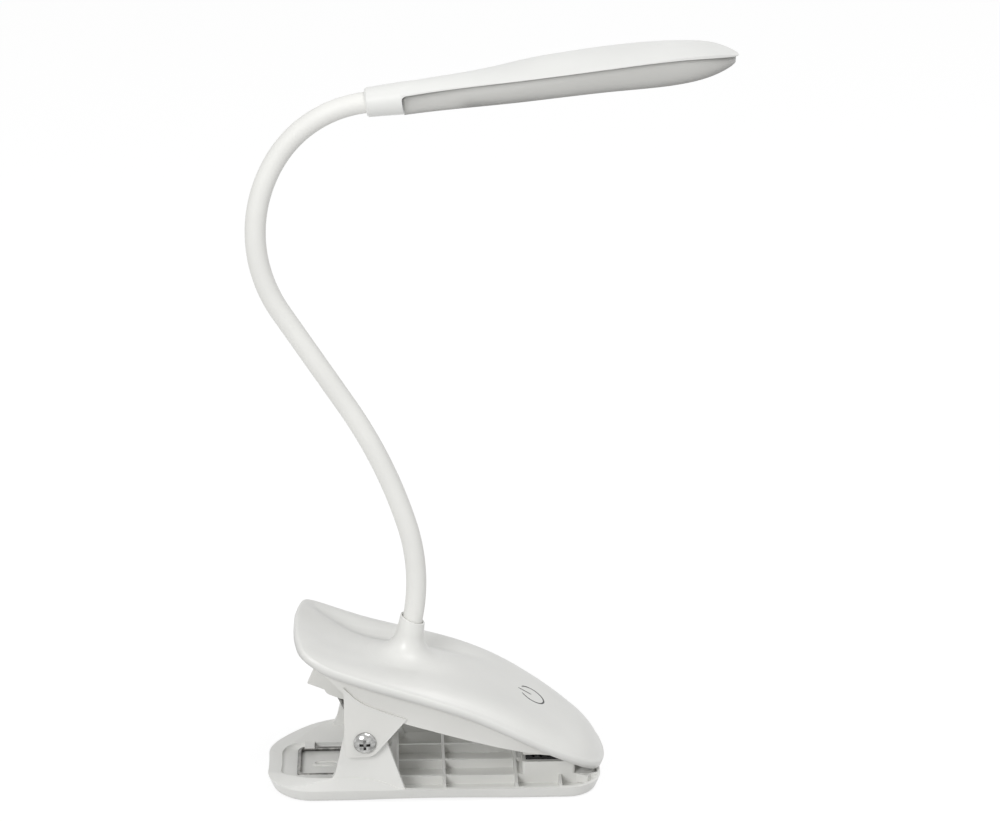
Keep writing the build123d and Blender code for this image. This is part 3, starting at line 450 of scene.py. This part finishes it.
def neck_place(s):
    """Centre line at a length from the collar's mouth, in the shared frame."""
    x, z = neck_at(s)[:2]
    return Vector((PIVOT_X + x * MM, 0, z * MM))


NECK_LENGTH = sum(length for length, bend in stretches())
JOINT_STEP = (NECK_LENGTH - LAST_JOINT_GAP - FIRST_JOINT) / (NECK_JOINTS - 1)
JOINTS = [FIRST_JOINT + i * JOINT_STEP for i in range(NECK_JOINTS)]


def neck_rings(bm, radius, start, end, sides, across=0.0):
    """A tube along a stretch of the neck, some millimetres across from its centre line."""
    gaps = max(FEWEST_GAPS, round((end - start) / RING_GAP))
    rings = []
    for i in range(gaps + 1):
        s = start + (end - start) * i / gaps
        heading = neck_at(s)[2]
        centre = neck_place(s) + Vector((0, across * MM, 0))
        side = Vector((cos(heading), 0, sin(heading)))
        ring = []
        for k in range(sides):
            turn = 2 * pi * k / sides
            offset = side * cos(turn) + Vector((0, 1, 0)) * sin(turn)
            ring.append(bm.verts.new(centre + offset * radius * MM))
        rings.append(ring)
    join_rings(bm, rings)
    return rings


def sleeve_piece(name, start, end):
    """A hollow stretch of the sleeve."""
    bm = bmesh.new()
    outer = neck_rings(bm, NECK_RADIUS, start, end, SLEEVE_SIDES)
    inner = neck_rings(bm, NECK_INNER, start, end, SLEEVE_SIDES)
    join_rings(bm, (outer[0], inner[0]))
    join_rings(bm, (outer[-1], inner[-1]))
    return add_mesh(name, bm, sleeve_white)


def wire_piece(name, start, end):
    """A stretch of the two feed wires."""
    bm = bmesh.new()
    for across in (-WIRE_SPREAD, WIRE_SPREAD):
        rings = neck_rings(bm, WIRE_RADIUS, start, end, WIRE_SIDES, across)
        bm.faces.new(rings[0])
        bm.faces.new(rings[-1])
    return add_mesh(name, bm, wire_red)


def bend_at_joint(piece, i):
    """Bakes a stretch of the neck into place; the ends of its bending place are worked out but not used,
    and nothing ties it to the bodies.
    """
    low, high = neck_place(JOINTS[i] - BEND_REACH), neck_place(JOINTS[i] + BEND_REACH)
    if i in FROM_FAR_SIDE:
        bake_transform(piece)
    else:
        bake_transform(piece)


def make_neck():
    """The sleeve and the wires in it, cut midway between the bending places."""
    cuts = [(a + b) / 2 for a, b in zip(JOINTS, JOINTS[1:])]
    sleeve_cuts = [NECK_ROOT] + cuts + [NECK_LENGTH + NECK_SOCKET]
    wire_cuts = [WIRE_ROOT] + cuts + [NECK_LENGTH + NECK_SOCKET + WIRE_TIP]
    for i in range(NECK_JOINTS):
        sleeve = sleeve_piece(f"sleeve_{i + 1:02d}", sleeve_cuts[i], sleeve_cuts[i + 1])
        nodes = [f"neck_sleeve_{i + 1:02d}"]
        if i == NECK_JOINTS - 1:
            nodes.append(f"neck_sleeve_{i + 2:02d}")
        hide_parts(*nodes)
        bend_at_joint(sleeve, i)
        wires = wire_piece(f"feed_wires_{i + 1:02d}", wire_cuts[i], wire_cuts[i + 1])
        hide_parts("feed_wires")
        bend_at_joint(wires, i)


make_neck()


# Upper shell, in the deck's frame: u along the slope, v across, h out of it, in millimetres

DECK_SLOPE = radians(22.8)
DECK_LIFT = 52.6
SHELL_REAR = -29.6
SHELL_FRONT = 103.5
SHELL_HALF_WIDTH = 31.0
SHELL_WALL = 2.0

# Places along the shell with the rim's height, and with the lip's height over the rim
RIM_LINE = ((-31.6, 0.8), (-12.0, -1.5), (43.0, 2.1), (84.0, -2.6), (106.0, -7.6))
LIP_LINE = ((-31.6, 2.9), (-12.0, 3.4), (43.0, 3.1), (84.0, 3.3), (106.0, 3.2))
# One side of the plan, in shares of the length and of the half width
LEAF_SIDE = ((0.007, 0.52), (0.029, 0.81), (0.085, 0.935), (0.24, 0.975), (0.50, 1.0), (0.70, 0.965),
             (0.83, 0.86), (0.925, 0.67), (0.98, 0.40))
LEAF_STEPS = 12

# The hump in front of the collar, the crown across the shell, and the dish behind the collar
DECK_BASE = 2.9
HUMP = 6.8
HUMP_PLACE = 43.0
HUMP_REAR_REACH = 38.0
HUMP_FRONT_REACH = 36.0
CROWN = 0.6
DISH = 3.6
DISH_PLACE = -6.0
DISH_REACH = 18.0
DISH_WIDTH = 16.0

# The two valleys beside the collar, which spread towards the rear
VALLEY_FAR = 3.6
VALLEY_NEAR = 0.8
VALLEY_PLACE = 8.0
VALLEY_REACH = 30.0
VALLEY_OUT = 13.0
VALLEY_SPREAD = 13.0
VALLEY_FADE = 20.0
VALLEY_WIDTH = 4.5

# The raised rear corners, the mound under the collar and the drooping nose
CORNER = 1.3
CORNER_REACH = 12.0
MOUND = 1.4
MOUND_PLACE = 15.8
MOUND_REACH = 13.0
MOUND_WIDTH = 9.5
NOSE_PLACE = 87.0
NOSE_DROOP = 0.010

# How sharply the top rolls down to its lip, softer towards the nose
ROLL_POWER = 8.0
ROLL_SOFTER = 3.5
ROLL_PLACE = 60.0
ROLL_REACH = 30.0

# The lip's radius, and the least height of the wall under it
LIP_ROUND = 1.1
WALL_LEAST = 0.2

# The line that the top spreads from, and where its rings of points lie on the way out
SPINE_REAR = -12.0
SPINE_FRONT = 72.0
TOP_SHARES = [i / 12 for i in range(10)] + [0.79, 0.83, 0.87, 0.905, 0.94, 0.97, 1.0]
# Where the rings lie on the lip's quarter turn, and how near points are joined
LIP_SHARES = (0.25, 0.5, 0.75, 1.0)
WELD = 0.02


def deck_point(u, v, h):
    """A place in the deck's frame as a place in the shared frame."""
    x = u * cos(DECK_SLOPE) + h * sin(DECK_SLOPE)
    z = DECK_LIFT - u * sin(DECK_SLOPE) + h * cos(DECK_SLOPE)
    return Vector((PIVOT_X + x * MM, v * MM, z * MM))


def along(line, x):
    """Height of a smooth line through a few points."""
    last = len(line) - 2
    i = min(last, max(0, sum(1 for point in line if point[0] <= x) - 1))
    slopes = []
    for k in (i, i + 1):
        before, after = line[max(0, k - 1)], line[min(len(line) - 1, k + 1)]
        slopes.append((after[1] - before[1]) / (after[0] - before[0]))
    (x0, y0), (x1, y1) = line[i], line[i + 1]
    span = x1 - x0
    t = (x - x0) / span
    rise = (y1 - y0) * t * t * (3 - 2 * t)
    return y0 + rise + span * t * (1 - t) * (slopes[0] * (1 - t) - slopes[1] * t)


def bell(*shares):
    """A smooth bump: 1 in its middle, and about a third at one reach from it."""
    return exp(-sum(share**2 for share in shares))


def deck_height(u, v):
    """Height of the shell's top before it rolls down to its lip."""
    out = abs(v) / SHELL_HALF_WIDTH
    hump_reach = HUMP_REAR_REACH if u < HUMP_PLACE else HUMP_FRONT_REACH
    hump = HUMP * bell((u - HUMP_PLACE) / hump_reach)
    crown = CROWN * (1 - out * out)
    dish = DISH * bell((u - DISH_PLACE) / DISH_REACH, v / DISH_WIDTH)
    valley_out = VALLEY_OUT + VALLEY_SPREAD * exp(-max(0.0, u - SHELL_REAR) / VALLEY_FADE)
    valley_depth = VALLEY_FAR if v > 0 else VALLEY_NEAR
    valley = valley_depth * bell((abs(v) - valley_out) / VALLEY_WIDTH, (u - VALLEY_PLACE) / VALLEY_REACH)
    corner = CORNER * bell((u - SHELL_REAR) / CORNER_REACH) * out * out
    mound = MOUND * bell((u - MOUND_PLACE) / MOUND_REACH, v / MOUND_WIDTH)
    nose = NOSE_DROOP * max(0.0, u - NOSE_PLACE) ** 2
    return DECK_BASE + hump + crown + corner + mound - dish - valley - nose


def deck_top(u, v, lift=0.0):
    """A place on the shell's top, or lifted off it."""
    return deck_point(u, v, deck_height(u, v) + lift)


def shell_height(u, v, edge, share):
    """Height of the shell's top where it lies a share of the way out to its edge."""
    lip = along(RIM_LINE, edge.x) + along(LIP_LINE, edge.x)
    drop = max(0.0, deck_height(edge.x, edge.y) - lip)
    softness = min(1.0, max(0.0, (edge.x - ROLL_PLACE) / ROLL_REACH))
    return deck_height(u, v) - drop * share ** (ROLL_POWER - ROLL_SOFTER * softness)


def leaf_points():
    """Plan of the shell as a closed smooth line through its knots."""
    length = SHELL_FRONT - SHELL_REAR
    side = [(SHELL_REAR + a * length, b * SHELL_HALF_WIDTH) for a, b in LEAF_SIDE]
    other_side = [(u, -v) for u, v in reversed(side)]
    knots = [(SHELL_REAR, 0.0)] + side + [(SHELL_FRONT, 0.0)] + other_side
    knots = [Vector(knot) for knot in knots]
    count = len(knots)
    points = []
    for i in range(count):
        before, start, end, after = (knots[(i + k) % count] for k in (-1, 0, 1, 2))
        pairs = ((before, start), (start, end), (end, after))
        gap_before, gap, gap_after = ((b - a).length ** 0.5 for a, b in pairs)
        leave = (start - before) / gap_before - (end - before) / (gap_before + gap) + (end - start) / gap
        arrive = (end - start) / gap - (after - start) / (gap + gap_after) + (after - end) / gap_after
        for k in range(LEAF_STEPS):
            t = k / LEAF_STEPS
            blend = t * t * (3 - 2 * t)
            bend = gap * t * (1 - t)
            points.append(start.lerp(end, blend) + leave * bend * (1 - t) - arrive * bend * t)
    return points


def shell_column(point):
    """Places from the spine out to a point of the plan, over the lip and down to the rim."""
    spine = Vector((min(SPINE_FRONT, max(SPINE_REAR, point.x)), 0.0))
    way = (point - spine).normalized()
    edge = point - way * LIP_ROUND
    column = []
    for share in TOP_SHARES:
        place = spine.lerp(edge, share)
        column.append(deck_point(place.x, place.y, shell_height(place.x, place.y, point, share)))
    top = shell_height(edge.x, edge.y, point, 1.0)
    rim = along(RIM_LINE, point.x)
    depth = min(LIP_ROUND, top - rim - WALL_LEAST)
    for share in LIP_SHARES:
        turn = share * pi / 2
        place = edge + way * LIP_ROUND * sin(turn)
        column.append(deck_point(place.x, place.y, top - depth * (1 - cos(turn))))
    column.append(deck_point(point.x, point.y, rim))
    return column


def make_shell():
    """The upper shell: dished top, rolled edge with a thin lip, and wall down to its rim."""
    bm = bmesh.new()
    columns = [[bm.verts.new(place) for place in shell_column(point)] for point in leaf_points()]
    join_rings(bm, list(zip(*columns)))
    bmesh.ops.remove_doubles(bm, verts=bm.verts, dist=WELD * MM)
    shell = add_mesh("shell_skin", bm, shell_white, SHELL_SHARP)
    shell.modifiers.new("wall", "SOLIDIFY").thickness = SHELL_WALL * MM
    return shell


# The neck's collar on the shell

COLLAR_RADIUS = 5.05
COLLAR_BORE = 4.25
COLLAR_DRAFT = 0.075
COLLAR_LEAN = radians(9.0)
COLLAR_TOP = 20.9
COLLAR_SIDES = 72
# Drops below the mouth with the change of radius: up the bore, then down over the edge
COLLAR_INSIDE = ((9.0, 0.0), (0.25, 0.0), (0.02, 0.2))
COLLAR_OUTSIDE = ((0.0, -0.3), (0.08, -0.1), (0.3, 0.0))
COLLAR_STRAIGHT = 0.6
COLLAR_FLARE = 8.0
FLARE_STEPS = 14
# The flare's corner: a place just out on the deck, moved a share of the way to the wall's foot
KNEE_OUT = 1.0
KNEE_SHARE = 0.6
# Distances out past the flare with the height over the deck, where the hem sinks into the shell
COLLAR_HEM = ((0.0, 0.05), (0.8, 0.03), (2.0, -0.12))
# Drops between which the mouth and the foot are looked for
MOUTH_DROPS = (-12.0, 12.0)
FOOT_DROPS = (0.0, 30.0)
HALVINGS = 30


def deck_coordinates(place):
    """A place in the shared frame as a place in the deck's frame."""
    x = (place[0] - PIVOT_X) / MM
    z = place[2] / MM - DECK_LIFT
    u = x * cos(DECK_SLOPE) - z * sin(DECK_SLOPE)
    h = x * sin(DECK_SLOPE) + z * cos(DECK_SLOPE)
    return u, place[1] / MM, h


def above_mouth(place):
    """How far a place stands above the collar's mouth."""
    return deck_coordinates(place)[2] - COLLAR_TOP


def above_shell(place):
    """How far a place stands above the shell's top."""
    u, v, h = deck_coordinates(place)
    return h - deck_height(u, v)


def collar_place(turn, drop, grow=0.0):
    """A place on the collar's wall, some millimetres below the neck's foot."""
    radius = COLLAR_RADIUS + COLLAR_DRAFT * drop + grow
    x = NECK_FOOT[0] - drop * sin(COLLAR_LEAN) + radius * cos(turn) * cos(COLLAR_LEAN)
    z = NECK_FOOT[1] - drop * cos(COLLAR_LEAN) - radius * cos(turn) * sin(COLLAR_LEAN)
    return Vector((PIVOT_X + x * MM, radius * sin(turn) * MM, z * MM))


def drop_where(turn, grow, drops, height):
    """How far down the collar's wall a height comes to nothing."""
    low, high = drops
    for _ in range(HALVINGS):
        middle = (low + high) / 2
        if height(collar_place(turn, middle, grow)) > 0:
            low = middle
        else:
            high = middle
    return (low + high) / 2


def collar_column(turn):
    """Places up the collar's bore, over its edge and down its flare to the deck."""
    hollow = COLLAR_BORE - COLLAR_RADIUS
    mouth = drop_where(turn, 0.0, MOUTH_DROPS, above_mouth)
    inside = drop_where(turn, hollow, MOUTH_DROPS, above_mouth)
    foot = drop_where(turn, 0.0, FOOT_DROPS, above_shell)
    column = [collar_place(turn, inside + drop, hollow + grow) for drop, grow in COLLAR_INSIDE]
    column += [collar_place(turn, mouth + drop, grow) for drop, grow in COLLAR_OUTSIDE]
    corner = collar_place(turn, foot)
    u, v = deck_coordinates(corner)[:2]
    centre = deck_coordinates(collar_place(turn, foot, -COLLAR_RADIUS))[0]
    way = Vector((u - centre, v)).normalized()
    start = collar_place(turn, max(mouth + COLLAR_STRAIGHT, foot - COLLAR_FLARE))
    knee = deck_top(u + way.x * KNEE_OUT, v + way.y * KNEE_OUT).lerp(corner, KNEE_SHARE)
    hem = []
    for past, lift in COLLAR_HEM:
        out = COLLAR_FLARE + past
        hem.append(deck_top(u + way.x * out, v + way.y * out, lift))
    for step in range(FLARE_STEPS + 1):
        t = step / FLARE_STEPS
        column.append(start * (1 - t) ** 2 + knee * 2 * t * (1 - t) + hem[0] * t * t)
    return column + hem[1:]


def make_collar():
    """The collar, cut parallel to the deck at its mouth and flared into the deck at its foot."""
    bm = bmesh.new()
    turns = [2 * pi * k / COLLAR_SIDES for k in range(COLLAR_SIDES)]
    columns = [[bm.verts.new(place) for place in collar_column(turn)] for turn in turns]
    join_rings(bm, list(zip(*columns)))
    return add_mesh("shell_collar", bm, shell_white, SHELL_SHARP)


# The fine dark line that marks the touch key: an open ring and a short bar

TOUCH_PLACE = 67.6
TOUCH_RADIUS = 5.3
TOUCH_LINE = 0.68
TOUCH_LIFTS = (-0.2, 0.03)
# Half of the ring's gap in degrees, on the side of the neck
RING_OPEN = 30
RING_STEPS = 48
BAR_OUT = 1.0
BAR_STEP = 0.55
BAR_POINTS = 12
# Width of a line's tip as a share, and how much wider each point after it is
TIP_SHARE = 0.35
TIP_STEP = 0.4


def sign_lines():
    """Middle lines of the sign's ring and bar on the deck."""
    step = (360 - 2 * RING_OPEN) / RING_STEPS
    turns = [radians(RING_OPEN + k * step) for k in range(RING_STEPS + 1)]
    ring = [(TOUCH_PLACE - TOUCH_RADIUS * cos(turn), TOUCH_RADIUS * sin(turn)) for turn in turns]
    bar_start = TOUCH_PLACE - TOUCH_RADIUS - BAR_OUT
    bar = [(bar_start + k * BAR_STEP, 0.0) for k in range(BAR_POINTS)]
    return ring, bar


def make_touch_sign():
    """The sign's lines as thin ribbons set into the shell, with tapered ends."""
    bm = bmesh.new()
    low, high = TOUCH_LIFTS
    for line in sign_lines():
        last = len(line) - 1
        rings = []
        for k, (u, v) in enumerate(line):
            before, after = line[max(0, k - 1)], line[min(last, k + 1)]
            way = Vector((after[0] - before[0], after[1] - before[1])).normalized() * TOUCH_LINE / 2
            taper = min(1.0, TIP_SHARE + TIP_STEP * min(k, last - k))
            ring = []
            for side, lift in ((-1, low), (-1, high), (1, high), (1, low)):
                place = deck_top(u - side * way.y * taper, v + side * way.x * taper, lift)
                ring.append(bm.verts.new(place))
            rings.append(ring)
        join_rings(bm, rings)
        bm.faces.new(rings[0])
        bm.faces.new(rings[-1])
    return add_mesh("touch_sign", bm, ink_grey)


# Tray: the shoulder of its far side wall, and the lands before and behind the pad, in millimetres

TRAY_RIM = 6.2
TRAY_HALF_WIDTH = 26.0
TRAY_WALL = 1.8

SHOULDER_START = 12.6
SHOULDER_LENGTH = 27.0
SHOULDER_RISE = 5.0
SHOULDER_POWER = 1.7
SHOULDER_SUNK = 0.6
SHOULDER_ROUND = 0.2
SHOULDER_EDGE = 0.25
SHOULDER_INSET = 0.04
SHOULDER_STEPS = 20

LAND_FOOT = 2.6
LAND_ROUND = 0.4
LAND_SOFT = 0.12
# One side of each land as X from the pivot and Y, and its top's drop below the rim
FRONT_LAND = ((81.4, 14.0), (84.5, 15.2), (86.4, 16.6), (88.0, 14.0), (89.6, 9.0), (90.2, 4.0))
FRONT_LAND_DROP = 0.1
REAR_LAND = ((59.0, 14.0), (61.3, 14.0))
REAR_LAND_DROP = 1.2


def make_shoulder():
    """The far side wall's top in front of an ear, falling to the tray's rim."""
    inner = TRAY_HALF_WIDTH - TRAY_WALL
    outer = TRAY_HALF_WIDTH - SHOULDER_INSET
    foot = TRAY_RIM - SHOULDER_SUNK
    rings = []
    for k in range(SHOULDER_STEPS + 1):
        t = k / SHOULDER_STEPS
        x = PIVOT_X + (SHOULDER_START + SHOULDER_LENGTH * t) * MM
        top = TRAY_RIM + SHOULDER_RISE * (1 - t) ** SHOULDER_POWER
        inner_side = [(inner, foot), (inner, top - SHOULDER_ROUND), (inner + SHOULDER_ROUND, top)]
        outer_side = [(TRAY_HALF_WIDTH - SHOULDER_EDGE, top), (outer, top - SHOULDER_ROUND), (outer, foot)]
        rings.append([(x, y * MM, z * MM) for y, z in inner_side + outer_side])
    return add_solid("shoulder_far", rings, clamp_white)


def make_land(name, side, drop):
    """A land across the tray with a softened top edge."""
    plan = [(x, -y) for x, y in side] + list(reversed(side))
    centre = Vector((sum(x for x, y in plan), sum(y for x, y in plan))) / len(plan)
    top = TRAY_RIM - drop
    edge = [(0.0, top - LAND_ROUND), (LAND_SOFT, top - LAND_SOFT), (LAND_ROUND, top)]
    rings = []
    for inset, height in [(0.0, LAND_FOOT)] + edge:
        ring = []
        for x, y in plan:
            way = (centre - Vector((x, y))).normalized() * inset
            ring.append((PIVOT_X + (x + way.x) * MM, (y + way.y) * MM, height * MM))
        rings.append(ring)
    return add_solid(name, rings, clamp_white)


def make_tray_pieces():
    """The shoulder and the two lands."""
    shoulder = make_shoulder()
    front_land = make_land("front_land", FRONT_LAND, FRONT_LAND_DROP)
    rear_land = make_land("rear_land", REAR_LAND, REAR_LAND_DROP)
    return shoulder, front_land, rear_land


shell = make_shell()
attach(shell, "upper_jaw")
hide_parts("upper_shell")
for piece in (make_collar(), make_touch_sign()):
    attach(piece, "upper_jaw")
for piece in make_tray_pieces():
    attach(piece, "lower_jaw")


# Floor, world and lamps, in metres

FLOOR_HALF_WIDTH = 6.0
FLOOR_PLAIN = 0.68
FLOOR_SHARE = 0.22
FLOOR_GLOW = 0.84
SOFT_LIGHT = 0.46
WHITE = 1.0


def seen_rays(tree):
    """1 for rays that show the background: to the camera, mirrored or let through."""
    path = tree.nodes.new("ShaderNodeLightPath")
    total = path.outputs["Is Camera Ray"]
    for ray in ("Is Glossy Ray", "Is Transmission Ray"):
        add = tree.nodes.new("ShaderNodeMath")
        add.operation = "ADD"
        add.use_clamp = True
        tree.links.new(total, add.inputs[0])
        tree.links.new(path.outputs[ray], add.inputs[1])
        total = add.outputs[0]
    return total


def floor_material():
    """A pale floor that looks white to the camera and keeps the object's shadow."""
    m = Nodes("floor")
    m.tree.nodes.remove(m.shader)
    plain = m.add("ShaderNodeBsdfDiffuse", Color=(FLOOR_PLAIN, FLOOR_PLAIN, FLOOR_PLAIN, 1))
    thin = m.add("ShaderNodeBsdfDiffuse", Color=(FLOOR_SHARE, FLOOR_SHARE, FLOOR_SHARE, 1))
    glow = m.add("ShaderNodeEmission", Color=(1, 1, 1, 1), Strength=FLOOR_GLOW)
    both = m.add("ShaderNodeAddShader")
    mix = m.add("ShaderNodeMixShader")
    m.link(thin, "BSDF", both, 0)
    m.link(glow, "Emission", both, 1)
    m.tree.links.new(seen_rays(m.tree), mix.inputs["Fac"])
    m.link(plain, "BSDF", mix, 1)
    m.link(both, "Shader", mix, 2)
    m.link(mix, "Shader", m.out, "Surface")
    return m.material


def make_floor():
    """The floor, which isn't part of the object."""
    bm = bmesh.new()
    bmesh.ops.create_grid(bm, x_segments=1, y_segments=1, size=FLOOR_HALF_WIDTH)
    floor = add_mesh("floor", bm, floor_material())


def make_world():
    """Soft light from all sides, and plain white where the background is seen."""
    world = bpy.data.worlds.new("studio")
    scene.world = world
    world.use_nodes = True
    tree = world.node_tree
    tree.nodes.clear()
    out = tree.nodes.new("ShaderNodeOutputWorld")
    mix = tree.nodes.new("ShaderNodeMixShader")
    tree.links.new(seen_rays(tree), mix.inputs["Fac"])
    for into, strength in ((1, SOFT_LIGHT), (2, WHITE)):
        light = tree.nodes.new("ShaderNodeBackground")
        light.inputs["Color"].default_value = (1, 1, 1, 1)
        light.inputs["Strength"].default_value = strength
        tree.links.new(light.outputs["Background"], mix.inputs[into])
    tree.links.new(mix.outputs["Shader"], out.inputs["Surface"])


def area_lamp(name, place, target, size, power):
    """A square lamp that faces its target."""
    data = bpy.data.lights.new(name, "AREA")
    data.size = size
    data.energy = power
    lamp = bpy.data.objects.new(name, data)
    scene.collection.objects.link(lamp)
    lamp.location = place
    aim = Vector(target) - Vector(place)
    lamp.rotation_euler = aim.to_track_quat("-Z", "Y").to_euler()


make_floor()
make_world()
area_lamp("key", place=(-0.98, -1.66, 1.15), target=(0, 0, 0.08), size=0.85, power=20.0)
area_lamp("top", place=(0.84, -0.63, 2.30), target=(0, 0, 0.10), size=1.5, power=22.0)
